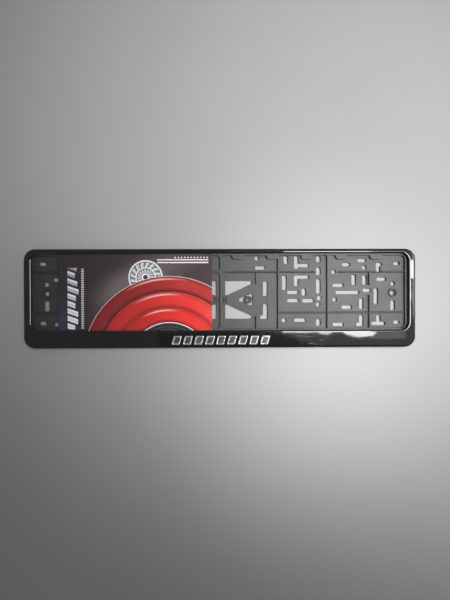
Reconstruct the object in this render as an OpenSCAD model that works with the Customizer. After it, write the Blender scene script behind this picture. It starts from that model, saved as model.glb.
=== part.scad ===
// Number plate holder: a flat backing plate with screw slots, and a front
// bezel that clips over it. The holder lies on its back. X runs along its
// length, Y up the plate and Z out of the front. Millimetres, with the origin
// under the middle of the back.

/* [Front bezel] */
// Overall length of the bezel
frame_l = 534; // [533:0.5:538]
// Overall width of the bezel, from its top edge to its bottom edge
frame_w = 135; // [134.5:0.5:138]
// Outer corner radius
corner_r = 15; // [14:0.5:18]
// Height of the front face above the back
face_z = 14.8; // [14.6:0.1:15.4]
// Radius of the rounded outer edge
edge_r = 3; // [2:0.25:3.5]
// Wall thickness of the bezel
wall = 2; // [1.8:0.1:2.2]
// Length of the window
window_l = 515; // [512:0.5:516]
// Width of the window
window_w = 105; // [104:0.5:106]
// Middle of the window above the middle of the holder
window_y = 8.9; // [8.6:0.1:9]
// Corner radius of the window
window_r = 11; // [9:0.5:12]
// Width of the oval that rounds the window's edge
rim_w = 3.1; // [2.8:0.1:3.2]
// Height of the oval that rounds the window's edge
rim_h = 1.75; // [1.5:0.05:1.9]
// Gap between the bezel's lower edge and the surface it lies on
skirt_z = 0.6; // [0.4:0.1:1]

/* [Backing plate] */
// Length of the backing plate
base_l = 527; // [526:0.5:527.5]
// Width of the backing plate
base_w = 128; // [127:0.5:128]
// Height of the seat that the number plate lies on
seat_z = 8.7; // [8.5:0.1:9]
// Thickness of the seat's flange
seat_t = 2; // [1.8:0.1:2.2]
// Height of the front of the recessed panel
panel_z = 4.4; // [4:0.1:4.6]
// Thickness of the recessed panel
panel_t = 2; // [1.6:0.1:2.2]
// Length of the recess
recess_l = 509.8; // [509.4:0.1:510.2]
// Upper edge of the recess
recess_top = 58.4; // [58.2:0.1:58.6]
// Lower edge of the recess
recess_bot = -42.2; // [-42.4:0.1:-42]
// Thickness of the thin ribs in the recess
rib_t = 1.5; // [1.2:0.1:1.8]
// Thickness of the round-topped level ribs
level_t = 2.2; // [1.6:0.1:2.4]
// height of the tops of the low ribs above the floor
low_rib_z = 7; // [6.8:0.1:8]
// Thickness of the rib down the middle
mid_rib_t = 1.6; // [1.2:0.2:2.4]

/* [Screw holes] */
// Width of the upright screw slots
slot_vw = 6.3; // [5.2:0.1:6.4]
// Width of the level screw slots
slot_hw = 5.1; // [4.4:0.1:5.2]
// Diameter of the plain screw holes
hole_d = 6.4; // [5.2:0.1:6.4]
// Width of the four corner slots
corner_slot_w = 5.4; // [5:0.1:6]
// Length of the four corner slots
corner_slot_l = 8.8; // [8:0.1:9]
// Distance between the left and right corner slots
corner_slot_dx = 490; // [489:0.5:491]
// Distance between the upper and lower corner slots
corner_slot_dy = 82; // [81.5:0.5:82.5]
// Height of the middle of the corner slots
corner_slot_y = 6.6; // [6.4:0.1:6.8]

/* [Latches] */
// Number of latches on each half of a long side
latch_n = 5; // [4:1:5]
// Distance from the middle to the first latch
latch_x = 22.9; // [22:0.1:23.5]
// Distance between latches
latch_pitch = 47.7; // [47:0.1:47.9]
// Length of a latch hook
latch_l = 12; // [8:1:14]

/* [Insert card] */
// Left edge of the card
card_x0 = -222; // [-224:0.5:-220]
// Right edge of the card
card_x1 = -12; // [-14:0.5:-8]
// Width of the card, up the holder
card_w = 110; // [108:0.5:110.5]
// Thickness of the card
card_t = 0.4; // [0.3:0.1:0.8]

/* [Relief trim] */
// Number of bars in the row
bar_n = 9; // [5:2:9]
// Distance between bars
bar_pitch = 15; // [14:0.5:16]
// Length of a bar along the holder
bar_l = 11; // [9:0.5:12]
// Height of a bar up the holder
bar_w = 12; // [8:0.5:13]
// Slant of a bar
bar_slant = 3; // [0:0.5:4]
// Stand of the bars above the face
bar_t = 1.2; // [0.8:0.1:1.8]
// Width of a bar's rim
bar_rim = 2; // [1.2:0.1:2.4]

/* [Hidden] */
$fn = 48;
recess_w = recess_top - recess_bot;
recess_y = (recess_top + recess_bot) / 2;
recess_x = recess_l / 2;
rim_u = 0.806 * rim_w;              // from the window's edge to where the face is level
plate_y = 0.5;                      // the plate sits a little above the bezel's middle
roof_z = face_z - wall;             // underside of the bezel's face
cavity_l = frame_l - 2 * wall;
cavity_w = frame_w - 2 * wall;
strip_y = -56.8;                    // middle line of the bottom strip
spider_x = 37.6;                    // middle of the boss on three spokes
spider_y = -2.4;

// points of an arc
function arc(cx, cy, r, a0, a1, n) =
    [for (i = [0:n]) let (a = a0 + (a1 - a0) * i / n) [cx + r * cos(a), cy + r * sin(a)]];
// points of a rectangle with round corners
function rounded(l, w, r, n = 10) = concat(
    arc(l / 2 - r, w / 2 - r, r, 0, 90, n), arc(r - l / 2, w / 2 - r, r, 90, 180, n),
    arc(r - l / 2, r - w / 2, r, 180, 270, n), arc(l / 2 - r, r - w / 2, r, 270, 360, n));
function latch_at(k) = latch_x + k * latch_pitch;

module slab(l, w, r, z0, z1, n = 10)
    translate([0, 0, z0]) linear_extrude(z1 - z0) polygon(rounded(l, w, r, n));

// both halves of the backing plate are alike
module both() { children(); mirror([1, 0, 0]) children(); }
module both_sides() { children(); mirror([0, 1, 0]) children(); }

// ---- cuts through the backing plate -------------------------------------
module slot_h(x, y, l) translate([x, y, -1]) linear_extrude(12) polygon(rounded(l, slot_hw, 2, 5));
module slot_v(x, y, l) translate([x, y, -1]) linear_extrude(12) polygon(rounded(slot_vw, l, 2, 5));
module hole(x, y, d = hole_d) translate([x, y, -1]) cylinder(h = 12, d = d);
module round_slot(x, y, l) {
    w = corner_slot_w;
    s = l - w;
    translate([x - s / 2, y, -1]) cylinder(h = 12, d = w);
    translate([x + s / 2, y, -1]) cylinder(h = 12, d = w);
    translate([x - s / 2, y - w / 2, -1]) cube([s, w, 12]);
}

// first field, next to the middle rib
module cuts_a() {
    hole(50, 55);
    slot_h(54.8, 41.8, 14);
    slot_v(61.7, 12.8, 20.6);
    slot_v(61.7, -18.9, 20.8);
    slot_h(59.5, -26.7, 9.6);
    // two slanted windows, above and below the web
    for (s = [-1, 1]) translate([0, -2.4, -1]) scale([1, s, 1]) linear_extrude(12)
        polygon([[6.2, 6.9], [6.8, 6.3], [9.2, 6.3], [42.2, 21.5], [43.4, 23], [43.4, 25.2], [42.2, 26.4], [7.2, 26.4], [6.2, 25.4]]);
}
// second field
module cuts_b() {
    slot_v(90.4, 52.4, 11);
    slot_v(105, 49, 17.8);
    slot_h(112.6, 45, 20.4);
    slot_v(135.7, 53.5, 8.8);
    slot_v(135.7, 36.8, 10.8);
    slot_v(135.7, 15.8, 20.3);
    hole(137, -0.6, 7);
    hole(135.4, -9.4);
    slot_v(88.2, 20.8, 20.2);
    slot_v(104.9, 23.9, 15.3);
    slot_h(112.6, 29, 20.6);
    slot_h(100.2, 7.7, 16);
    slot_v(115.4, 8.1, 9.8);
    slot_h(100.2, -3.8, 16);
    slot_h(121.3, -4, 16.4);
    hole(87.7, -31.3);
    slot_h(110, -31.1, 16.2);
    slot_v(135.6, -34.5, 9.2);
}
// third field
module cuts_c() {
    slot_h(174.6, 46.2, 11.6);
    slot_h(196.5, 51.9, 12.2);
    hole(200, 41.8);
    hole(157, 35.6);
    slot_v(185.1, 24.7, 14.6);
    slot_v(200.1, 24.6, 13.6);
    slot_h(163.3, 17.4, 15.8);
    slot_h(176.5, 7.3, 33.6);
    slot_h(203.4, 10.3, 11.8);
    hole(158.4, -2.8);
    slot_v(195.6, -8.5, 15.4);
    slot_h(175.4, -13.3, 14.8);
    slot_v(195.6, -32.2, 15.4);
    slot_h(193.4, -37.3, 9.6);
    slot_h(163.4, -37.3, 15.6);
}
// end field
module cuts_d() {
    slot_v(219.2, 41.9, 13.7);
    slot_h(220.7, 46.2, 8.2);
    slot_h(223.8, 25.7, 13.8);
    hole(239.8, 19.3);
    hole(239.3, 6.6);
    slot_v(216, 2, 22);
    slot_v(239.6, -10.8, 14);
    slot_v(219.6, -30.6, 12.4);
    slot_h(219.6, -36, 19.6);
    for (s = [-1, 1]) round_slot(corner_slot_dx / 2, corner_slot_y + s * corner_slot_dy / 2, corner_slot_l);
}

// ---- ribs in the recess ---------------------------------------------------
// upright rib from y0 to y1, its inner side at x
module rib_v(x, y0, y1, z0 = 0, z1 = seat_z) translate([x, y0, z0]) cube([rib_t, y1 - y0, z1 - z0]);
// level rib from x0 to x1, with a round top
module rib_h(x0, x1, y, z1 = seat_z) translate([x0, y, 0]) rotate([90, 0, 90]) linear_extrude(x1 - x0)
    polygon(concat([[-level_t / 2, 0], [level_t / 2, 0]], arc(0, z1 - level_t / 2, level_t / 2, 0, 180, 8)));

module ribs() {
    rib_v(48.4, 18.8, 35.8, z1 = low_rib_z + 0.4);
    rib_v(48.4, recess_bot - 1, -25);
    rib_v(78.7, recess_bot - 1, recess_top + 1);
    rib_v(147, recess_bot - 1, recess_top + 1);
    rib_v(205.3, 17.4, 35.8);
    rib_v(205.3, recess_bot - 1, 3.7);
    rib_h(1, 79, 35.8);
    rib_h(78.7, 131, 35.8, low_rib_z);
    rib_h(163, 206.5, 35.8, low_rib_z);
    rib_h(206, recess_x + 1, 35.8, low_rib_z);
    rib_h(79, recess_x + 1, -20.6, low_rib_z);
}

// lands that reach into the recess below the top latches
module land(x) translate([x + 1, recess_top + 1, panel_z - 1]) linear_extrude(seat_z - panel_z + 1)
    polygon(concat([[8.25, 0], [-8.25, 0]], arc(-4.25, -2.3, 4, 180, 270, 6), arc(4.25, -2.3, 4, 270, 360, 6)));

// fillet where the middle rib meets the seat
module corner_fill(x, y, sx, sy) translate([x, y, panel_z - 1]) scale([sx, sy, 1])
    linear_extrude(seat_z - panel_z + 1)
        polygon(concat([[-1, -1], [5, -1], [5, 0]], arc(5, 5, 5, 270, 180, 6), [[-1, 5]]));

// round boss on three spokes, in a three-sided opening
module spider_opening() translate([0, spider_y, -1]) linear_extrude(12)
    polygon([[25.4, -1.2], [26.4, -2.2], [42.4, -8.4], [44, -7], [44.4, 0], [44, 7], [42.4, 8.4], [26.4, 2.2], [25.4, 1.2]]);
module spider() difference() {
    union() {
        translate([spider_x, spider_y, panel_z - panel_t]) cylinder(h = seat_z - panel_z + panel_t, d = 10.6);
        for (a = [0, 122, 238]) translate([spider_x, spider_y, panel_z - panel_t]) rotate([0, 0, a])
            translate([3, -1.2, 0]) cube([6.2, 2.4, panel_t]);
    }
    hole(spider_x, spider_y, 4.4);
    // round groove in the boss's face
    translate([spider_x, spider_y, seat_z - 1]) difference() {
        cylinder(h = 2, d = 8.6);
        cylinder(h = 2, d = 6.6);
    }
}

// raised lattice pad in the middle of the plate, with diamond pits between its bars
module middle_lattice() translate([0, spider_y, 0]) difference() {
    translate([-9, -4, panel_z - 1]) cube([18, 8, 3.6]);
    for (x = [-6.8, -2.6, 2.6, 6.8], y = [-2.1, 2.1]) diamond_pit(x, y);
    for (x = [-4.7, 4.7]) diamond_pit(x, 0);
}
module diamond_pit(x, y) translate([x, y, panel_z - 0.8]) rotate([0, 0, 45]) translate([-1.15, -1.15, 0]) cube([2.3, 2.3, 5]);

// six-sided wall round a screw hole near the end, for a screw's head
module nut_pocket() translate([239.3, 6.8, panel_z]) difference() {
    translate([0, 0, -0.5]) cylinder(h = 2.9, d = 13.4, $fn = 6);
    cylinder(h = 4, d = 10.4, $fn = 6);
}

module plate_body() difference() {
    union() {
        difference() {
            union() {
                // panel, recess wall and foot, all to the recess wall's outside
                translate([0, recess_y, 0]) slab(recess_l + 4, recess_w + 4, 8, 0, seat_z);
                // seat flange
                slab(base_l, base_w, 13, seat_z - seat_t, seat_z);
            }
            // the recess in front, and the hollow behind
            translate([0, recess_y, 0]) slab(recess_l, recess_w, 6, panel_z, seat_z + 1);
            translate([0, recess_y, 0]) slab(recess_l, recess_w, 6, -1, panel_z - panel_t);
        }
        both() ribs();
        both() for (k = [0:latch_n - 1]) land(latch_at(k));
        translate([-mid_rib_t / 2, recess_bot - 1, 0]) cube([mid_rib_t, recess_w + 2, seat_z]);
        both() {
            corner_fill(mid_rib_t / 2, recess_top, 1, -1);
            corner_fill(mid_rib_t / 2, recess_bot, 1, 1);
            corner_fill(mid_rib_t / 2, 35.8 + rib_t / 2, 1, 1);
            corner_fill(mid_rib_t / 2, 35.8 - rib_t / 2, 1, -1);
        }
        middle_lattice();
        both() nut_pocket();
        // webs under the wide flange
        both() for (k = [0:latch_n - 1])
            translate([latch_at(k) + 12, -base_w / 2 + 2, 2]) cube([1.6, base_w / 2 - 2 + recess_bot, seat_z - 3]);
    }
    both() { cuts_a(); spider_opening(); }
    both() cuts_b();
    both() cuts_c();
    both() cuts_d();
}

module backing_plate() color([0.16, 0.16, 0.165]) translate([0, plate_y, 0]) {
    plate_body();
    both() spider();
}

// ---- bezel ------------------------------------------------------------------
// cross-section of the face's rounded outer edge, r out from the corner's centre
function edge_section(r) = concat([[0, skirt_z], [r, skirt_z]], arc(r - edge_r, face_z - edge_r, edge_r, 0, 90, 10), [[0, face_z]]);

module bezel_block() {
    // middle, over the whole width
    both_sides() rotate([90, 0, 90]) linear_extrude(frame_l - 2 * corner_r, center = true)
        polygon(edge_section(frame_w / 2));
    // the two ends
    both() translate([frame_l / 2 - corner_r, 0, 0]) rotate([90, 0, 0])
        linear_extrude(frame_w - 2 * corner_r, center = true) polygon(edge_section(corner_r));
    // the four corners
    both() both_sides() translate([frame_l / 2 - corner_r, frame_w / 2 - corner_r, 0])
        rotate_extrude(angle = 90) polygon(edge_section(corner_r));
}

// cross-section of the window's lip, u out from its edge: a quarter of an oval
// that the window's wall cuts
function lip_section() = concat([[0, roof_z]],
    [for (i = [0:12]) let (t = 143.7 - i * 53.7 / 12) [rim_u + rim_w * cos(t), face_z - rim_h + rim_h * sin(t)]],
    [[rim_u + 0.7, face_z], [rim_u + 0.7, roof_z]]);

module lip() translate([0, window_y, 0]) {
    lx = window_l / 2;
    ly = window_w / 2;
    for (s = [0, 1]) mirror([0, s, 0]) translate([0, ly, 0]) rotate([90, 0, 90])
        linear_extrude(window_l - 2 * window_r, center = true) polygon(lip_section());
    for (s = [0, 1]) mirror([s, 0, 0]) translate([lx, 0, 0]) rotate([90, 0, 0])
        linear_extrude(window_w - 2 * window_r, center = true) polygon(lip_section());
    for (sx = [0, 1]) for (sy = [0, 1]) mirror([sx, 0, 0]) mirror([0, sy, 0])
        translate([lx - window_r, ly - window_r, 0])
            rotate_extrude(angle = 90) translate([window_r, 0]) polygon(lip_section());
}

// hook that holds the seat flange from below, on the long side s
module hook(x, s) scale([1, s, 1]) translate([x - latch_l / 2, cavity_w / 2 + 0.5, 0]) rotate([90, 0, 90])
    linear_extrude(latch_l) polygon([[0, 2.4], [0, 6.5], [-2.6, 6.5], [-2.6, 5.6]]);
// hook on an end
module end_hook(y) translate([cavity_l / 2 + 0.5, y + latch_l / 2, 0]) rotate([90, 0, 0])
    linear_extrude(latch_l) polygon([[0, 2.4], [0, 6.5], [-3.1, 6.5], [-3.1, 5.6]]);

module front_bezel() color([0.05, 0.05, 0.055]) {
    difference() {
        bezel_block();
        slab(cavity_l, cavity_w, corner_r - wall, -1, roof_z);
        translate([0, window_y, 0]) slab(window_l + 4, window_w + 4, window_r + 2, roof_z - 1, face_z + 1);
    }
    intersection() {
        lip();
        bezel_block();
    }
    both() for (k = [0:latch_n - 1]) {
        hook(latch_at(k), 1);
        hook(latch_at(k), -1);
        // stops over the top edge of the seat
        translate([latch_at(k) - 5, 63.1, seat_z]) cube([10, cavity_w / 2 - 62.6, roof_z - seat_z + 0.5]);
        // webs under the bottom strip
        translate([latch_at(k) - 0.8, -cavity_w / 2 - 0.5, seat_z]) cube([1.6, cavity_w / 2 - 50, roof_z - seat_z + 0.5]);
    }
    both() end_hook(window_y);
    // long rib that the number plate stands against, and its two end stops
    translate([-254, -52.2, seat_z]) cube([508, 1.6, roof_z - seat_z + 0.5]);
    both() translate([261.4, -36, seat_z]) cube([1.6, 88, roof_z - seat_z + 0.5]);
}

// ---- card -------------------------------------------------------------------
module insert_card() color([0.55, 0.1, 0.1])
    translate([card_x0, window_y - 1.7 - card_w / 2, seat_z]) cube([card_x1 - card_x0, card_w, card_t]);

// ---- relief trim --------------------------------------------------------------
module bar_shape(d) polygon([
    [-bar_l / 2 - bar_slant / 2 + d, -bar_w / 2 + d], [bar_l / 2 - bar_slant / 2 - d, -bar_w / 2 + d],
    [bar_l / 2 + bar_slant / 2 - d, bar_w / 2 - d], [-bar_l / 2 + bar_slant / 2 + d, bar_w / 2 - d]]);
module relief_trim() color([0.78, 0.79, 0.8]) for (k = [0:bar_n - 1])
    translate([(k - (bar_n - 1) / 2) * bar_pitch, strip_y, face_z]) difference() {
        linear_extrude(bar_t) bar_shape(0);
        translate([0, 0, 0.5]) linear_extrude(bar_t) bar_shape(bar_rim);
    }

backing_plate();
front_bezel();
insert_card();
relief_trim();
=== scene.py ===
import math

import bmesh
import bpy
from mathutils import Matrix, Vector


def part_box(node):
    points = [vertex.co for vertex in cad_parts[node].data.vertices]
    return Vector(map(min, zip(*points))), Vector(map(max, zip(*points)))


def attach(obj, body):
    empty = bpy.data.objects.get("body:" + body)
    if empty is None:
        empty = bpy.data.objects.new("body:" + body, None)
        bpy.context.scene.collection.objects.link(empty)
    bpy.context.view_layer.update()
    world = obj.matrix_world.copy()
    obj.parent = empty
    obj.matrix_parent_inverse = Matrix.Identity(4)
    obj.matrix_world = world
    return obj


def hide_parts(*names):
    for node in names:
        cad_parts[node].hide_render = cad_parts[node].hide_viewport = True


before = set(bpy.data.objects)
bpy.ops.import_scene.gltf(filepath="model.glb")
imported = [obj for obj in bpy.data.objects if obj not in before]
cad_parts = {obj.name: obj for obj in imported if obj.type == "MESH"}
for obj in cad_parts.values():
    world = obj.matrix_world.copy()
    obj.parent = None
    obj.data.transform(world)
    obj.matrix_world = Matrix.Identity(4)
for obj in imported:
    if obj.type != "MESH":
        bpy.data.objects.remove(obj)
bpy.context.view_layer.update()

MM = 0.001
scene = bpy.context.scene

# ---------------------------------------------------------------- sizes, in mm
FRAME_L, FRAME_W, CORNER_R = 534.0, 135.0, 15.0
FACE_Z, EDGE_R, WALL = 14.8, 3.0, 2.0
WIN_L, WIN_W, WIN_Y, WIN_R = 515.0, 105.0, 8.9, 11.0
RIM_A, RIM_B, RIM_U, SKIRT_Z = 3.1, 1.75, 2.5, 0.6
ROOF_Z = FACE_Z - WALL
SEAT_Z = 8.7


# ------------------------------------------------------------------ small tools
def smooth(t):
    t = max(0.0, min(1.0, t))
    return t * t * (3 - 2 * t)


def rounded(l, w, r, cy=0.0, nc=20, nl=44, ns=12):
    """Points of a rectangle with round corners, the same number whatever its size."""
    pts = []
    quads = [(1, 1, 0), (-1, 1, 90), (-1, -1, 180), (1, -1, 270)]
    for k, (sx, sy, a0) in enumerate(quads):
        cx, cyy = sx * (l / 2 - r), sy * (w / 2 - r)
        for i in range(nc + 1):
            a = math.radians(a0 + 90 * i / nc)
            pts.append((cx + r * math.cos(a), cy + cyy + r * math.sin(a)))
        # the straight to the next corner
        n = nl if k in (0, 2) else ns
        nx, ny, na = quads[(k + 1) % 4]
        a = math.radians(na)
        ex, ey = nx * (l / 2 - r) + r * math.cos(a), cy + ny * (w / 2 - r) + r * math.sin(a)
        x0, y0 = pts[-1]
        for i in range(1, n):
            pts.append((x0 + (ex - x0) * i / n, y0 + (ey - y0) * i / n))
    return pts


def sd_rounded(x, y, l, w, r, cy=0.0):
    qx, qy = abs(x) - (l / 2 - r), abs(y - cy) - (w / 2 - r)
    return math.hypot(max(qx, 0), max(qy, 0)) + min(max(qx, qy), 0) - r


def new_object(name, bm, materials, angle=32.0):
    me = bpy.data.meshes.new(name)
    bm.normal_update()
    bm.to_mesh(me)
    bm.free()
    for m in materials:
        me.materials.append(m)
    for p in me.polygons:
        p.use_smooth = True
    me.set_sharp_from_angle(angle=math.radians(angle))
    o = bpy.data.objects.new(name, me)
    scene.collection.objects.link(o)
    return o


def bevel_box(bm, lo, hi, r=0.25, mat=0):
    """A closed box with bevelled edges, in mm."""
    before = set(bm.verts)
    cx, cy, cz = ((lo[k] + hi[k]) / 2 for k in range(3))
    res = bmesh.ops.create_cube(bm, size=1.0)
    for v in res["verts"]:
        v.co = Vector((cx + v.co.x * (hi[0] - lo[0]), cy + v.co.y * (hi[1] - lo[1]), cz + v.co.z * (hi[2] - lo[2]))) * MM
    edges = list({e for v in res["verts"] for e in v.link_edges})
    if r > 0:
        bmesh.ops.bevel(bm, geom=edges, offset=r * MM, segments=2, profile=0.5, affect="EDGES")
    for f in {f for v in bm.verts if v not in before for f in v.link_faces}:
        f.material_index = mat


def prism(bm, section, a0, a1, place, mat=0):
    """A closed prism: section in two axes, swept from a0 to a1, with place(u, w, a) giving the point in mm."""
    ra = [bm.verts.new(Vector(place(u, w, a0)) * MM) for u, w in section]
    rb = [bm.verts.new(Vector(place(u, w, a1)) * MM) for u, w in section]
    fs = [bm.faces.new(ra), bm.faces.new(rb[::-1])]
    n = len(section)
    for i in range(n):
        fs.append(bm.faces.new([ra[(i + 1) % n], ra[i], rb[i], rb[(i + 1) % n]]))
    for f in fs:
        f.material_index = mat
    bmesh.ops.recalc_face_normals(bm, faces=fs)
    return fs


# --------------------------------------------------------------- node materials
class Nodes:
    """A short way to write a material's nodes."""

    def __init__(self, name):
        self.mat = bpy.data.materials.new(name)
        self.mat.use_nodes = True
        self.nt = self.mat.node_tree
        self.nt.nodes.clear()
        self.out = self.nt.nodes.new("ShaderNodeOutputMaterial")
        self.bsdf = self.nt.nodes.new("ShaderNodeBsdfPrincipled")
        self.nt.links.new(self.bsdf.outputs[0], self.out.inputs[0])
        tc = self.nt.nodes.new("ShaderNodeTexCoord")
        self.obj = tc.outputs["Object"]

    def link(self, value, socket):
        if isinstance(value, (int, float)):
            socket.default_value = value
        elif isinstance(value, tuple):
            socket.default_value = value if len(socket.default_value) == len(value) else (*value, 1.0)
        else:
            self.nt.links.new(value, socket)

    def m(self, op, a, b=0.0, c=None, clamp=False):
        n = self.nt.nodes.new("ShaderNodeMath")
        n.operation, n.use_clamp = op, clamp
        self.link(a, n.inputs[0])
        self.link(b, n.inputs[1])
        if c is not None:
            self.link(c, n.inputs[2])
        return n.outputs[0]

    def add(self, a, b): return self.m("ADD", a, b)
    def sub(self, a, b): return self.m("SUBTRACT", a, b)
    def mul(self, a, b): return self.m("MULTIPLY", a, b)

    def mix(self, fac, a, b, mode="MIX"):
        n = self.nt.nodes.new("ShaderNodeMix")
        n.data_type, n.blend_type = "RGBA", mode
        self.link(fac, n.inputs[0])
        for value, socket in ((a, n.inputs[6]), (b, n.inputs[7])):
            if isinstance(value, tuple):
                socket.default_value = (*value[:3], 1.0)
            else:
                self.nt.links.new(value, socket)
        return n.outputs[2]

    def ramp(self, fac, lo, hi, a=0.0, b=1.0, kind="SMOOTHSTEP"):
        n = self.nt.nodes.new("ShaderNodeMapRange")
        n.interpolation_type = kind
        self.link(fac, n.inputs["Value"])
        for k, v in (("From Min", lo), ("From Max", hi), ("To Min", a), ("To Max", b)):
            n.inputs[k].default_value = v
        return n.outputs["Result"]

    def noise(self, scale, detail=2.0, rough=0.5, distortion=0.0, vec=None, dims="3D"):
        n = self.nt.nodes.new("ShaderNodeTexNoise")
        n.noise_dimensions = dims
        self.link(vec if vec is not None else self.obj, n.inputs["Vector"])
        n.inputs["Scale"].default_value = scale
        n.inputs["Detail"].default_value = detail
        n.inputs["Roughness"].default_value = rough
        n.inputs["Distortion"].default_value = distortion
        return n.outputs["Fac"]

    def voronoi(self, scale, feature="F1", out="Distance", vec=None, rand=1.0):
        n = self.nt.nodes.new("ShaderNodeTexVoronoi")
        n.feature = feature
        self.link(vec if vec is not None else self.obj, n.inputs["Vector"])
        n.inputs["Scale"].default_value = scale
        n.inputs["Randomness"].default_value = rand
        return n.outputs[out]

    def stretch(self, sx, sy, sz, rot=(0.0, 0.0, 0.0)):
        n = self.nt.nodes.new("ShaderNodeMapping")
        self.nt.links.new(self.obj, n.inputs["Vector"])
        n.inputs["Rotation"].default_value = rot
        n.inputs["Scale"].default_value = (sx, sy, sz)
        return n.outputs["Vector"]

    def bump(self, height, distance, strength=1.0, normal=None):
        n = self.nt.nodes.new("ShaderNodeBump")
        n.inputs["Strength"].default_value = strength
        n.inputs["Distance"].default_value = distance
        self.nt.links.new(height, n.inputs["Height"])
        if normal is not None:
            self.nt.links.new(normal, n.inputs["Normal"])
        return n.outputs["Normal"]

    def xyz(self):
        n = self.nt.nodes.new("ShaderNodeSeparateXYZ")
        self.nt.links.new(self.obj, n.inputs[0])
        return n.outputs[0], n.outputs[1], n.outputs[2]

    def set(self, **kw):
        for k, v in kw.items():
            s = self.bsdf.inputs[k.replace("_", " ")]
            self.link(v, s)
        return self


def gloss_black():
    """Injection-moulded gloss black: deep, with orange peel, wipe marks, hairlines and dust."""
    n = Nodes("bezel_gloss_black")
    wipe = n.noise(9.0, 4.0, 0.6, 0.8, vec=n.stretch(0.5, 2.2, 1.0, (0, 0, 0.3)))
    fine = n.noise(240.0, 3.0, 0.6)
    dust = n.ramp(n.voronoi(260.0), 0.07, 0.03)
    sparse = n.ramp(n.noise(38.0, 2.0), 0.62, 0.68)
    speck = n.mul(dust, sparse)
    hair_a = n.ramp(n.voronoi(34.0, "DISTANCE_TO_EDGE", vec=n.stretch(0.35, 4.5, 1.0, (0, 0, 0.2))), 0.012, 0.003)
    hair_b = n.ramp(n.voronoi(41.0, "DISTANCE_TO_EDGE", vec=n.stretch(5.0, 0.4, 1.0, (0, 0, -0.5))), 0.010, 0.003)
    hair = n.mul(n.m("MAXIMUM", hair_a, hair_b), n.ramp(n.noise(21.0, 3.0, 0.6), 0.52, 0.66))
    base = n.mix(n.ramp(wipe, 0.3, 0.75), (0.0026, 0.0026, 0.0028), (0.0052, 0.0052, 0.0054))
    base = n.mix(n.mul(speck, 0.55), base, (0.32, 0.31, 0.30))
    base = n.mix(n.mul(hair, 0.05), base, (0.2, 0.2, 0.2))
    rough = n.add(n.ramp(wipe, 0.35, 0.8, 0.028, 0.055), n.mul(n.ramp(fine, 0.4, 0.7), 0.015))
    rough = n.m("MAXIMUM", rough, n.mul(n.m("MAXIMUM", speck, n.mul(hair, 0.5)), 0.5))
    peel = n.bump(n.noise(150.0, 2.0, 0.5), 0.00002, 0.5)
    wave = n.bump(n.noise(20.0, 2.0, 0.45), 0.00030, 0.30, normal=peel)
    last = n.bump(n.sub(speck, hair), 0.00001, 0.3, normal=wave)
    n.set(Base_Color=base, Roughness=rough, Normal=last, IOR=1.5)
    return n.mat


def satin_black():
    """Moulded black polypropylene: fine spark texture, flow marks, dust and scuffs."""
    n = Nodes("plate_satin_black")
    x, y, z = n.xyz()
    flow = n.noise(7.0, 4.0, 0.55, 1.4, vec=n.stretch(1.0, 1.9, 1.0))
    patch = n.noise(26.0, 5.0, 0.6, 0.4)
    grain = n.noise(900.0, 2.0, 0.6)
    grain2 = n.voronoi(1500.0)
    dust = n.mul(n.ramp(n.voronoi(190.0), 0.10, 0.04), n.ramp(n.noise(30.0, 2.0), 0.56, 0.66))
    scuff = n.mul(n.ramp(n.voronoi(30.0, "DISTANCE_TO_EDGE", vec=n.stretch(0.5, 4.0, 1.0, (0, 0, 0.7))), 0.02, 0.004),
                  n.ramp(n.noise(17.0, 3.0, 0.6), 0.55, 0.7))
    base = n.mix(n.ramp(flow, 0.3, 0.7), (0.035, 0.036, 0.036), (0.050, 0.051, 0.050))
    base = n.mix(n.mul(n.ramp(patch, 0.5, 0.8), 0.35), base, (0.060, 0.060, 0.058))
    # painted shade: the plate's colour darkens towards the left end (x below -0.12 m), where less light falls
    base = n.mix(n.ramp(x, -0.12, -0.22, 0.0, 0.85), base, (0.010, 0.010, 0.010))
    base = n.mix(n.mul(dust, 0.5), base, (0.35, 0.34, 0.32))
    base = n.mix(n.mul(scuff, 0.22), base, (0.18, 0.18, 0.175))
    rough = n.add(n.ramp(flow, 0.25, 0.75, 0.51, 0.59), n.ramp(patch, 0.3, 0.8, -0.02, 0.05))
    rough = n.add(rough, n.mul(scuff, 0.06))
    edge = n.nt.nodes.new("ShaderNodeBevel")
    edge.samples = 6
    edge.inputs["Radius"].default_value = 0.0006
    b1 = n.bump(n.add(grain, n.mul(grain2, 0.6)), 0.00004, 0.5, normal=edge.outputs[0])
    b2 = n.bump(n.noise(22.0, 2.0, 0.5), 0.0007, 0.22, normal=b1)
    b3 = n.bump(n.sub(dust, scuff), 0.00003, 0.4, normal=b2)
    n.set(Base_Color=base, Roughness=rough, Normal=b3, IOR=1.5, Specular_IOR_Level=0.76)
    return n.mat


def chrome():
    n = Nodes("trim_chrome")
    haze = n.noise(120.0, 3.0, 0.6)
    fine = n.noise(1400.0, 2.0, 0.5)
    speck = n.ramp(n.voronoi(700.0), 0.12, 0.05)
    base = n.mix(n.ramp(haze, 0.35, 0.7), (0.80, 0.81, 0.82), (0.68, 0.69, 0.71))
    base = n.mix(n.mul(speck, 0.35), base, (0.25, 0.25, 0.26))
    rough = n.add(n.ramp(haze, 0.3, 0.7, 0.22, 0.30), n.mul(fine, 0.04))
    n.set(Base_Color=base, Metallic=1.0, Roughness=rough,
          Normal=n.bump(n.noise(420.0, 2.0), 0.00003, 0.5))
    return n.mat


# Dark half-metal floor inside each trim bar: a painted reflection of the dark room, standing in for chrome
def trim_floor_painted_reflection_material():
    n = Nodes("trim_floor_painted_reflection")
    haze = n.noise(160.0, 3.0, 0.6)
    base = n.mix(n.ramp(haze, 0.35, 0.7), (0.05, 0.05, 0.054), (0.10, 0.10, 0.105))
    n.set(Base_Color=base, Metallic=0.6, Roughness=n.ramp(haze, 0.3, 0.7, 0.28, 0.42),
          Normal=n.bump(n.noise(900.0, 2.0), 0.00003, 0.4))
    return n.mat


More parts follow.
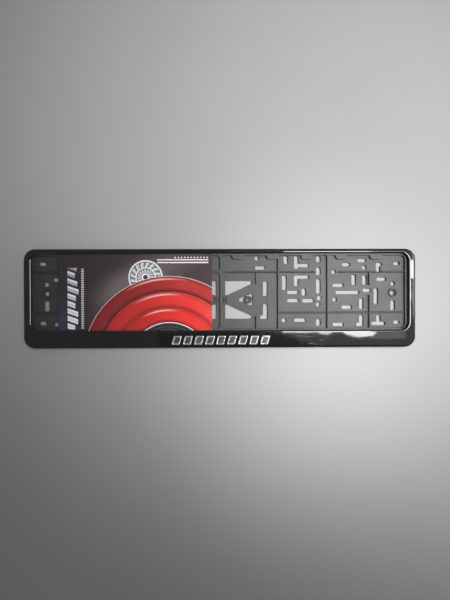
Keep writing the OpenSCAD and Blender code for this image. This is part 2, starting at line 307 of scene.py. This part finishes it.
def card_print():
    """A generic print: red ribbons that sweep over a dark ground, a silver rosette behind them, a silver ladder and thin rules."""
    n = Nodes("card_print")
    X, Y, Z = n.xyz()
    u = n.m("MULTIPLY_ADD", X, 1000.0, 117.0)          # mm from the card's middle
    v = n.m("MULTIPLY_ADD", Y, 1000.0, -8.2)

    def soft(d, w=0.22):                                # 1 where d < 0
        return n.ramp(d, w, -w)

    def dist(cu, cv):
        a, b = n.sub(u, cu), n.sub(v, cv)
        return n.m("SQRT", n.add(n.mul(a, a), n.mul(b, b)))

    def band(value, lo, hi, w=0.18):
        return n.mul(n.ramp(value, lo - w, lo + w), n.ramp(value, hi + w, hi - w))

    # ground: warm black, a grey beam that falls from the upper right, a cold corner, and a fine slanted hatch
    beam = n.add(n.mul(u, 0.50), n.mul(v, -0.86))
    glow = n.mul(n.ramp(n.m("ABSOLUTE", n.add(beam, 16.0)), 34.0, 0.0), n.ramp(u, -74.0, -20.0))
    glow = n.mul(glow, n.ramp(v, 58.0, 14.0, 0.35, 1.0))
    col = n.mix(n.ramp(u, -100.0, 40.0), (0.034, 0.024, 0.024), (0.054, 0.038, 0.038))
    col = n.mix(glow, col, (0.168, 0.134, 0.139))
    col = n.mix(n.mul(n.ramp(u, -62.0, -104.0), n.ramp(v, 10.0, -54.0)), col, (0.040, 0.046, 0.085))
    hatch = band(n.m("FRACT", n.mul(n.add(u, v), 1 / 2.6)), 0.30, 0.62, 0.10)
    col = n.mix(n.mul(hatch, n.ramp(u, -20.0, -84.0, 0.0, 0.30)), col, (0.020, 0.017, 0.019))

    # silver rosette: rings and blades
    rc = dist(14.0, 21.0)
    ang = n.m("ARCTAN2", n.sub(v, 21.0), n.sub(u, 14.0))
    spin = n.add(n.mul(ang, 16.0 / (2 * math.pi)), n.mul(rc, 0.055))
    blade = n.m("FRACT", spin)
    ros = n.mix(n.ramp(blade, 0.05, 0.90, kind="LINEAR"), (0.10, 0.10, 0.11), (0.92, 0.93, 0.95))
    ros = n.mix(band(blade, 0.93, 1.01, 0.02), ros, (0.02, 0.02, 0.022))
    for r0, r1, c in ((0.0, 3.4, (0.05, 0.05, 0.055)), (3.4, 5.0, (0.95, 0.96, 0.98)), (11.2, 12.2, (0.03, 0.03, 0.032)),
                      (12.2, 13.8, (0.92, 0.93, 0.95)), (20.4, 21.2, (0.04, 0.04, 0.045)), (21.2, 23.6, (0.78, 0.79, 0.81))):
        ros = n.mix(band(rc, r0, r1), ros, c)
    col = n.mix(soft(n.sub(rc, 23.6)), col, ros)

    # red ribbons: broad rings round a point below the card, each shaded like a rolled sheet
    rr = dist(46.0, -96.0)
    turn = n.m("ARCTAN2", n.add(v, 96.0), n.sub(u, 46.0))
    edges = [118.0, 97.0, 75.0, 55.0]
    shade = [((0.085, 0.010, 0.012), (0.46, 0.030, 0.028)), ((0.36, 0.012, 0.012), (0.80, 0.045, 0.036)),
             ((0.32, 0.010, 0.010), (0.84, 0.040, 0.030))]
    sweep = n.ramp(turn, 2.45, 1.1)
    shine = n.ramp(n.m("ABSOLUTE", n.sub(turn, 1.75)), 0.42, 0.05)
    for k, (dark, light) in enumerate(shade):
        r1, r0 = edges[k], edges[k + 1]
        t = n.ramp(rr, r0, r1, 0.0, 1.0, "LINEAR")
        c = n.mix(n.ramp(t, 0.0, 0.34), dark, light)
        c = n.mix(n.ramp(t, 0.70, 1.02, 0.0, 0.55), c, dark)
        c = n.mix(n.ramp(sweep, 0.0, 1.0, 0.50, 0.0), c, dark)
        streak = n.mul(n.ramp(n.m("ABSOLUTE", n.sub(t, 0.84)), 0.10, 0.0), shine)
        c = n.mix(n.mul(streak, 0.75), c, (1.0, 0.66, 0.62))
        c = n.mix(n.ramp(t, 0.985, 1.0, 0.0, 0.6), c, (1.0, 0.55, 0.50))
        c = n.mix(n.ramp(t, 0.035, 0.0, 0.0, 0.8), c, (0.045, 0.003, 0.005))
        col = n.mix(soft(n.sub(rr, r1)), col, c)
    col = n.mix(band(rr, 118.0, 118.8), col, (0.62, 0.55, 0.56))
    col = n.mix(band(rr, 54.2, 55.4), col, (0.95, 0.90, 0.90))
    col = n.mix(soft(n.sub(rr, 54.2)), col, (0.036, 0.030, 0.034))
    ring = n.mul(band(n.m("FRACT", n.mul(rr, 1 / 4.0)), 0.25, 0.40, 0.05), n.ramp(rr, 53.6, 53.0))
    col = n.mix(n.mul(ring, 0.5), col, (0.22, 0.21, 0.23))

    # silver ladder on the left
    lean = n.add(v, n.mul(u, 0.35))
    step = n.m("FRACT", n.mul(lean, 1 / 10.2))
    rung = n.m("FLOOR", n.mul(lean, 1 / 10.2))
    length = n.m("MULTIPLY_ADD", n.m("SINE", n.mul(rung, 1.7)), 2.6, 12.6)
    left = n.add(u, 92.5)
    inside = n.mul(n.mul(n.ramp(left, -0.2, 0.2), n.ramp(n.sub(left, length), 0.2, -0.2)), band(step, 0.08, 0.78, 0.02))
    inside = n.mul(inside, band(v, -50.0, 34.0, 0.3))
    sheen = n.ramp(step, 0.12, 0.74, 0.0, 1.0)
    metal = n.mix(sheen, (0.22, 0.25, 0.33), (0.88, 0.91, 0.97))
    metal = n.mix(n.ramp(v, 30.0, -50.0), metal, (0.98, 1.0, 1.0))
    metal = n.mix(n.mul(band(step, 0.40, 0.45, 0.02), 0.7), metal, (0.10, 0.12, 0.17))
    col = n.mix(inside, col, metal)
    tick = n.mul(band(n.m("FRACT", n.mul(v, 1 / 3.1)), 0.18, 0.82, 0.05), band(u, -73.8, -70.2, 0.15))
    col = n.mix(n.mul(n.mul(tick, band(v, -49.0, 33.0, 0.3)), 0.85), col, (0.74, 0.75, 0.79))

    # thin rules at the upper right
    rules = n.m("MAXIMUM", band(v, 44.2, 45.6, 0.12), band(v, 40.4, 42.0, 0.12))
    rules = n.mul(rules, band(u, 30.0, 100.0, 0.2))
    col = n.mix(n.mul(rules, 0.95), col, (1.0, 0.94, 0.97))
    dots = n.mul(band(n.m("FRACT", n.mul(u, 1 / 4.4)), 0.2, 0.62, 0.04), n.mul(band(v, 47.2, 48.9, 0.12), band(u, 52.8, 100.0, 0.1)))
    col = n.mix(n.mul(dots, 0.9), col, (1.0, 0.94, 0.97))

    # print grain, paper edge, scuffs
    grain = n.noise(1900.0, 2.0, 0.6)
    col = n.mix(n.mul(n.ramp(grain, 0.35, 0.75), 0.10), col, (0.5, 0.5, 0.5), "OVERLAY")
    scuff = n.mul(n.ramp(n.voronoi(26.0, "DISTANCE_TO_EDGE", vec=n.stretch(0.6, 3.5, 1.0, (0, 0, 0.9))), 0.014, 0.003),
                  n.ramp(n.noise(15.0, 3.0, 0.6), 0.56, 0.7))
    col = n.mix(n.mul(scuff, 0.08), col, (0.6, 0.6, 0.6))
    side = n.nt.nodes.new("ShaderNodeNewGeometry")
    sep = n.nt.nodes.new("ShaderNodeSeparateXYZ")
    n.nt.links.new(side.outputs["Normal"], sep.inputs[0])
    col = n.mix(n.ramp(sep.outputs[2], 0.55, 0.2), col, (0.62, 0.60, 0.57))
    rough = n.add(n.ramp(n.noise(18.0, 3.0, 0.6), 0.3, 0.7, 0.20, 0.30), n.mul(scuff, 0.2))
    b1 = n.bump(n.noise(700.0, 2.0), 0.00002, 0.35)
    b2 = n.bump(n.noise(14.0, 2.0, 0.5), 0.0009, 0.28, normal=b1)
    n.set(Base_Color=col, Roughness=rough, Normal=b2, IOR=1.48)
    return n.mat


def floor_material():
    n = Nodes("floor_pale")
    cloud = n.noise(3.0, 3.0, 0.5)
    grain = n.noise(420.0, 3.0, 0.6)
    base = n.mix(n.ramp(cloud, 0.3, 0.7), (0.41, 0.412, 0.415), (0.43, 0.432, 0.435))
    base = n.mix(n.mul(n.ramp(grain, 0.3, 0.7), 0.12), base, (0.375, 0.377, 0.38))
    n.set(Base_Color=base, Roughness=0.6)
    return n.mat


GLOSS, SATIN, CHROME, PAINTED_REFLECTION_FLOOR, PRINT = gloss_black(), satin_black(), chrome(), trim_floor_painted_reflection_material(), card_print()


# ------------------------------------------------------------------------- bezel
def face_height(x, y):
    """Height of the bezel's upper surface: rounded outer edge, face, and the oval that rounds the window's edge."""
    d = -sd_rounded(x, y, FRAME_L, FRAME_W, CORNER_R)
    u = sd_rounded(x, y, WIN_L, WIN_W, WIN_R, WIN_Y)
    z = FACE_Z
    if d < EDGE_R:
        z = FACE_Z - EDGE_R + math.sqrt(max(0.0, EDGE_R ** 2 - (EDGE_R - max(d, 0.0)) ** 2))
    if u < RIM_U:
        z = min(z, FACE_Z - RIM_B + RIM_B * math.sqrt(1 - ((max(u, 0.0) - RIM_U) / RIM_A) ** 2))
    return z


def make_bezel():
    bm = bmesh.new()
    outer = rounded(FRAME_L, FRAME_W, CORNER_R)
    inner = rounded(WIN_L, WIN_W, WIN_R, WIN_Y)
    N = len(outer)

    def ring(points, z):
        return [bm.verts.new(Vector((x, y, z)) * MM) for x, y in points]

    rings = []
    # inside of the cavity, from the roof down, then round the skirt's rim
    win_under = rounded(WIN_L + 0.5, WIN_W + 0.5, WIN_R + 0.25, WIN_Y)
    cav = lambda d: rounded(FRAME_L - 2 * WALL + 2 * d, FRAME_W - 2 * WALL + 2 * d, CORNER_R - WALL + d)
    rings.append(ring(win_under, ROOF_Z))
    rings.append(ring(cav(-0.6), ROOF_Z))
    rings.append(ring(cav(-0.18), ROOF_Z - 0.18))
    rings.append(ring(cav(0.0), ROOF_Z - 0.6))
    for z in (8.0, 4.0, SKIRT_Z + 0.4):
        rings.append(ring(cav(0.0), z))
    rings.append(ring(cav(0.12), SKIRT_Z + 0.12))
    rings.append(ring(cav(0.4), SKIRT_Z))
    out = lambda d: rounded(FRAME_L - 2 * d, FRAME_W - 2 * d, CORNER_R - d)
    rings.append(ring(out(0.5), SKIRT_Z))
    rings.append(ring(out(0.15), SKIRT_Z + 0.15))
    rings.append(ring(out(0.0), SKIRT_Z + 0.5))
    for z in (4.0, 7.5):
        rings.append(ring(out(0.0), z))
    # upper surface, from the outer wall to the window
    KO, KM, KB = 14, 7, 22
    samples = [[] for _ in range(N)]
    for i in range(N):
        (xo, yo), (xi, yi) = outer[i], inner[i]
        s = math.hypot(xi - xo, yi - yo)
        a = min(EDGE_R + 0.9, 0.5 * s)
        b = min(RIM_U + 0.5, s - a - 0.05)
        along = [a * (1 - math.cos(k / KO * math.pi / 2)) for k in range(KO + 1)]
        along += [a + (s - a - b) * k / KM for k in range(1, KM)]
        # closer together where it turns down to the window
        for k in range(KB):
            t = k / (KB - 1)
            along.append(s - b * (1 - t) * (0.72 + 0.28 * (1 - t)))
        for q in along:
            t = min(1.0, max(0.0, q / s))
            samples[i].append((xo + (xi - xo) * t, yo + (yi - yo) * t))
    K = len(samples[0])
    for k in range(K):
        rr = []
        for i in range(N):
            x, y = samples[i][k]
            z = face_height(x, y)
            if k == K - 1:
                z -= 0.28                                   # small break of the window's edge
            rr.append(bm.verts.new(Vector((x, y, z)) * MM))
        rings.append(rr)
    # down the window's wall, back to the start
    rings.append(ring(inner, ROOF_Z + 0.9))
    rings.append(ring(inner, ROOF_Z + 0.25))
    rings.append(rings[0])
    for ra, rb in zip(rings, rings[1:]):
        for i in range(N):
            j = (i + 1) % N
            bm.faces.new([ra[i], ra[j], rb[j], rb[i]])
    bmesh.ops.recalc_face_normals(bm, faces=bm.faces[:])

    # hooks, stops, webs and ribs inside
    latch = [22.9 + 47.7 * k for k in range(5)]
    cl, cw = FRAME_L / 2 - WALL, FRAME_W / 2 - WALL
    hook = [(0.5, 2.4), (0.5, 6.5), (-2.35, 6.5), (-2.6, 6.25), (-2.6, 5.75), (-2.45, 5.5)]
    for x in latch:
        for sx in (-1, 1):
            for sy in (-1, 1):
                prism(bm, hook, sx * x - 6, sx * x + 6, lambda p, q, a, sy=sy: (a, sy * (cw + p), q))
            bevel_box(bm, (sx * x - 5, 63.1, SEAT_Z), (sx * x + 5, cw + 0.5, ROOF_Z + 0.5))
            bevel_box(bm, (sx * x - 0.8, -cw - 0.5, SEAT_Z), (sx * x + 0.8, -50.5, ROOF_Z + 0.5))
    ehook = [(0.5, 2.4), (0.5, 6.5), (-2.85, 6.5), (-3.1, 6.25), (-3.1, 5.75), (-2.95, 5.5)]
    for sx in (-1, 1):
        prism(bm, ehook, WIN_Y - 6, WIN_Y + 6, lambda p, q, a, sx=sx: (sx * (cl + p), a, q))
        bevel_box(bm, (min(sx * 261.4, sx * 263.0), -36, SEAT_Z), (max(sx * 261.4, sx * 263.0), 52, ROOF_Z + 0.5))
    bevel_box(bm, (-254, -52.2, SEAT_Z), (254, -50.6, ROOF_Z + 0.5))
    o = new_object("bezel", bm, [GLOSS], 40.0)
    return o


bezel = make_bezel()
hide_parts("front_bezel")
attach(bezel, "root")


# ---------------------------------------------------------------- backing plate
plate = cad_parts["backing_plate"]
plate.data.materials.clear()
plate.data.materials.append(SATIN)


# -------------------------------------------------------------------------- card
def make_card():
    bm = bmesh.new()
    (x0, y0, z0), (x1, y1, z1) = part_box("insert_card")
    nx, ny = 84, 44
    t = 0.00032

    def lift(x, y):
        # it lies on the seat at its edges and bows a little between
        a = math.sin(math.pi * (x - x0) / (x1 - x0))
        b = math.sin(math.pi * (y - y0) / (y1 - y0))
        return (0.00022 * a * b + 0.00005 * math.sin(x * 95.0) * math.sin(y * 130.0 + 0.6) * a * b)

    top, low = [], []
    for i in range(nx + 1):
        ct, cl = [], []
        for j in range(ny + 1):
            x, y = x0 + (x1 - x0) * i / nx, y0 + (y1 - y0) * j / ny
            z = z0 + 0.00002 + lift(x, y)
            ct.append(bm.verts.new((x, y, z + t)))
            cl.append(bm.verts.new((x, y, z)))
        top.append(ct)
        low.append(cl)
    for i in range(nx):
        for j in range(ny):
            bm.faces.new([top[i][j], top[i + 1][j], top[i + 1][j + 1], top[i][j + 1]])
            bm.faces.new([low[i][j], low[i][j + 1], low[i + 1][j + 1], low[i + 1][j]])
    for i in range(nx):
        bm.faces.new([low[i][0], low[i + 1][0], top[i + 1][0], top[i][0]])
        bm.faces.new([low[i + 1][ny], low[i][ny], top[i][ny], top[i + 1][ny]])
    for j in range(ny):
        bm.faces.new([low[0][j + 1], low[0][j], top[0][j], top[0][j + 1]])
        bm.faces.new([low[nx][j], low[nx][j + 1], top[nx][j + 1], top[nx][j]])
    return new_object("card", bm, [PRINT], 50.0)


card = make_card()
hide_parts("insert_card")
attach(card, "root")


# ------------------------------------------------------------------------- trim
def make_trim():
    bm = bmesh.new()
    (x0, y0, z0), (x1, y1, z1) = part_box("relief_trim")
    cy = (y0 + y1) / 2 / MM
    l, w, s, rim, n, pitch = 11.0, 12.0, 3.0, 2.0, 9, 15.0
    zb, zt = z0 / MM, z1 / MM

    def outline(d, r):
        """Slanted four-sided outline, d in from the edge, with corners of radius r."""
        c = [Vector((-l / 2 - s / 2 + d * 1.1, -w / 2 + d)), Vector((l / 2 - s / 2 - d * 1.1, -w / 2 + d)),
             Vector((l / 2 + s / 2 - d * 1.1, w / 2 - d)), Vector((-l / 2 + s / 2 + d * 1.1, w / 2 - d))]
        pts = []
        for k in range(4):
            p, a, b = c[k], c[k - 1], c[(k + 1) % 4]
            ea, eb = (a - p).normalized(), (b - p).normalized()
            q0, q1 = p + ea * r, p + eb * r
            for i in range(6):
                t = i / 5
                pts.append(q0 * (1 - t) ** 2 + p * 2 * t * (1 - t) + q1 * t ** 2)
        return pts

    for k in range(n):
        cx = (k - (n - 1) / 2) * pitch
        steps = [(0.0, 0.9, zb - 0.05), (0.0, 0.9, zb + 0.45), (0.10, 0.9, zb + 0.78), (0.32, 0.85, zt - 0.16), (0.62, 0.8, zt - 0.03), (0.95, 0.75, zt),
                 (1.28, 0.7, zt - 0.03), (1.6, 0.65, zt - 0.2), (1.85, 0.6, zt - 0.45), (2.0, 0.6, zb + 0.5)]
        rings = [[bm.verts.new(Vector((cx + p.x, cy + p.y, z)) * MM) for p in outline(d, r)] for d, r, z in steps]
        m = len(rings[0])
        for q, (ra, rb) in enumerate(zip(rings, rings[1:])):
            for i in range(m):
                f = bm.faces.new([ra[i], ra[(i + 1) % m], rb[(i + 1) % m], rb[i]])
        # the recessed floor of each bar gets the painted dark reflection material
        f = bm.faces.new(rings[-1])
        f.material_index = 1
        bm.faces.new(rings[0][::-1])
    return new_object("trim_bars", bm, [CHROME, PAINTED_REFLECTION_FLOOR], 38.0)


trim = make_trim()
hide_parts("relief_trim")
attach(trim, "root")


# ------------------------------------------------------------ floor, light, view
bm = bmesh.new()
size = 3.0
vs = [bm.verts.new((x * size, y * size, -0.0001)) for x, y in ((-1, -1), (1, -1), (1, 1), (-1, 1))]
bm.faces.new(vs)
floor = new_object("floor", bm, [floor_material()])

world = bpy.data.worlds.new("studio")
scene.world = world
world.use_nodes = True
world.node_tree.nodes["Background"].inputs[0].default_value = (0.96, 0.98, 1.0, 1.0)
world.node_tree.nodes["Background"].inputs[1].default_value = 0.22


def area(name, at, to, sx, sy, radiance, colour=(1.0, 1.0, 1.0)):
    """A soft rectangular lamp of the given radiance."""
    d = bpy.data.lights.new(name, "AREA")
    d.shape = "RECTANGLE"
    d.size, d.size_y = sx, sy
    d.energy = radiance * math.pi * sx * sy
    d.color = colour
    o = bpy.data.objects.new(name, d)
    scene.collection.objects.link(o)
    o.location = at
    o.rotation_mode = "QUATERNION"
    o.rotation_quaternion = (Vector(to) - Vector(at)).to_track_quat("-Z", "Y")
    o.visible_camera = False
    return o


def sees(o, diffuse=True, glossy=True):
    o.visible_diffuse, o.visible_glossy = diffuse, glossy
    return o


# two overhead lamps: a wide pool of light that fades towards the left end, and a small one over the right half
def pool(name, power, x, y, degrees, stretch, turn):
    d = bpy.data.lights.new(name, "SPOT")
    d.energy = power
    d.shadow_soft_size = 0.14
    d.spot_size = math.radians(degrees)
    d.spot_blend = 1.0
    o = bpy.data.objects.new(name, d)
    scene.collection.objects.link(o)
    o.location = (x, y, 1.10)
    o.rotation_euler = (0.0, 0.0, turn)
    o.scale = (1.0, stretch, 1.0)
    o.visible_camera = False
    sees(o, glossy=False)


pool("overhead_wide", 51.0, 0.310, 0.165, 67.6, 1.32, 1.20)
pool("overhead_near", 33.0, 0.150, -0.060, 22.0, 1.10, -0.10)

# the bright window that the gloss and the satin mirror on the right
def overhead_panel(name, x0, x1, y0, y1, z, radiance, turn=0.0):
    o = area(name, ((x0 + x1) / 2, (y0 + y1) / 2, z), ((x0 + x1) / 2, (y0 + y1) / 2, 0.0), x1 - x0, y1 - y0, radiance)
    o.rotation_mode = "XYZ"
    o.rotation_euler = (0.0, 0.0, math.radians(turn))
    return o


def overhead_disc(name, x0, x1, y0, y1, z, radiance):
    o = overhead_panel(name, x0, x1, y0, y1, z, radiance)
    o.data.shape = "ELLIPSE"
    o.data.energy = radiance * math.pi * (x1 - x0) * (y1 - y0) * math.pi / 4.0
    return o


sees(overhead_panel("key_main", 0.2305, 0.553, -0.124, 0.135, 0.90, 24.0), diffuse=False)
sees(overhead_panel("key_side", 0.553, 0.648, -0.010, 0.062, 0.90, 24.0), diffuse=False)
sees(overhead_panel("key_edge", 0.655, 0.724, 0.072, 0.140, 0.90, 24.0), diffuse=False)
sees(overhead_disc("key_low", 0.452, 0.575, -0.1430, -0.1050, 0.90, 20.0), diffuse=False)
sees(overhead_disc("key_low_core", 0.478, 0.535, -0.1440, -0.1100, 0.90, 7.0), diffuse=False)
sees(overhead_disc("key_low_left", 0.360, 0.412, -0.1345, -0.1140, 0.90, 14.0), diffuse=False)
sees(overhead_panel("key_low_right", 0.556, 0.680, -0.150, -0.118, 0.90, 1.6), diffuse=False)
sees(overhead_panel("key_haze", 0.040, 0.300, 0.100, 0.215, 0.90, 1.5), diffuse=False)
sees(overhead_panel("key_dim", 0.707, 1.100, -0.070, 0.260, 0.90, 4.5), diffuse=False)
# a broad pale ceiling panel on the right, and a wall that the right rim mirrors
sees(overhead_panel("ceiling", 0.441, 2.241, -0.522, 0.678, 1.20, 0.72, -21.0), diffuse=False)
sees(overhead_panel("ceiling_soft", 0.441, 2.241, -0.522, 0.678, 1.20, 0.45, -21.0), glossy=False)
# the dim rest of the room overhead, for the gloss: greyer on the left and beyond the top edge
sees(overhead_panel("room", -4.0, 4.0, 0.0, 4.0, 2.20, 0.16), diffuse=False)
sees(overhead_panel("room_left", -4.0, -0.430, -4.0, 0.0, 2.20, 0.16), diffuse=False)
sees(overhead_panel("room_low", -0.430, 4.0, -4.0, 0.0, 2.20, 0.02), diffuse=False)
sees(area("wall", (1.60, 0.0, 0.45), (0.0, 0.0, 0.45), 1.6, 0.9, 1.6), diffuse=False)

cam_data = bpy.data.cameras.new("camera")
cam_data.sensor_fit = "AUTO"
cam_data.sensor_width = 36.0
cam_data.lens = 385.0 / 600.0 * 36.0
cam_data.clip_start, cam_data.clip_end = 0.01, 50.0
cam = bpy.data.objects.new("camera", cam_data)
scene.collection.objects.link(cam)
cam.location = (-0.00106, -0.00016, 0.53807)
cam.rotation_euler = (math.radians(-0.224), math.radians(-0.736), math.radians(-0.182))
scene.camera = cam
scene.view_settings.view_transform = "Standard"
